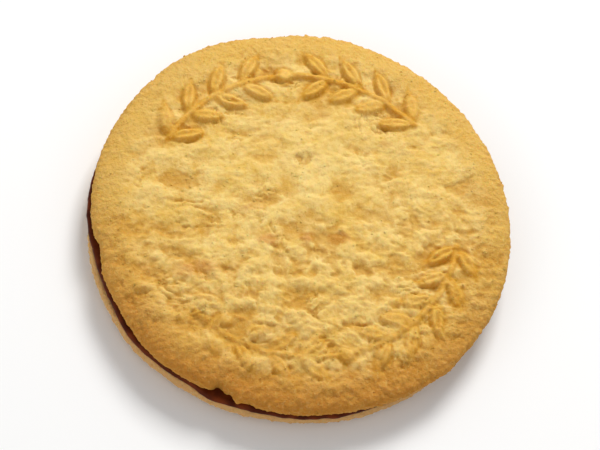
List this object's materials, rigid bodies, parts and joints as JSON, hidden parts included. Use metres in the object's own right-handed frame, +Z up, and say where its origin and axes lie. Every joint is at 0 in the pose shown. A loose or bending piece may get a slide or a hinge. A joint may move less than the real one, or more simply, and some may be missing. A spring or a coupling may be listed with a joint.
{
  "type": "syrup biscuit",
  "caption": "Round butter biscuit sandwich with a dark syrup layer, leaf garlands stamped on its craggy golden face and a chip in its edge.",
  "frame": {"origin": "middle of the base of the whole biscuit's bounding box, on the surface it rests on", "axes": "+Z up through the layers, out of the stamped face; +Y is the stamp's upright direction; +X to its right"},
  "size_m": [0.0884, 0.087, 0.0116],
  "materials": {
    "baked_dough": "dry, crumbly baked butter dough, golden with browned edge; matt",
    "dark_syrup": "thick dark treacle syrup, glossy and nearly opaque",
    "pale_dough": "dry, crumbly baked butter dough, paler than the upper biscuit, as its side shows; matt"
  },
  "bodies": {
    "root": {"top_biscuit": "baked_dough", "syrup": "dark_syrup", "bottom_biscuit": "pale_dough"}
  },
  "joints": []
}
